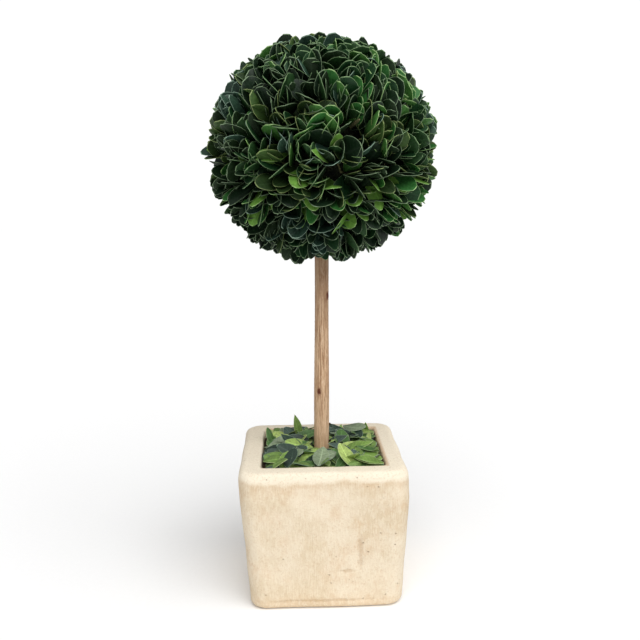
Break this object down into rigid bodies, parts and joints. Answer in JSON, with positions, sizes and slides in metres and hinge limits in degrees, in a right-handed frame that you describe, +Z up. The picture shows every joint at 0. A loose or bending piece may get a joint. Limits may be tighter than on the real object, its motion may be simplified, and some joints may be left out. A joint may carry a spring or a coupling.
{
  "type": "potted box topiary ball",
  "caption": "Preserved box topiary: a clipped leafy ball on a slim peeled stem, standing in a thick-walled square clay pot topped with loose leaves.",
  "frame": {"origin": "centre of the pot's flat underside", "axes": "+Z up along the stem; the front of the pot faces -Y"},
  "size_m": [0.1617, 0.1594, 0.3962],
  "materials": {
    "clay": "unglazed, hand-pressed, cream with paler blotches and fine scratches",
    "planting_moss": "dark dried moss over the plaster that holds the stem",
    "loose_leaves": "loose preserved leaves, satin, their upper and under sides both showing",
    "peeled_wood": "peeled stick, matt, with a few dark knots",
    "core_moss": "dark green-brown moss ball",
    "box_leaves": "preserved leaves, dark green and softly glossy, with a thin pale rim"
  },
  "bodies": {
    "root": {"pot": "clay", "filler": "planting_moss", "leaf_litter": "loose_leaves", "stem": "peeled_wood", "moss_core": "core_moss", "leaf_ball": "box_leaves"}
  },
  "joints": []
}
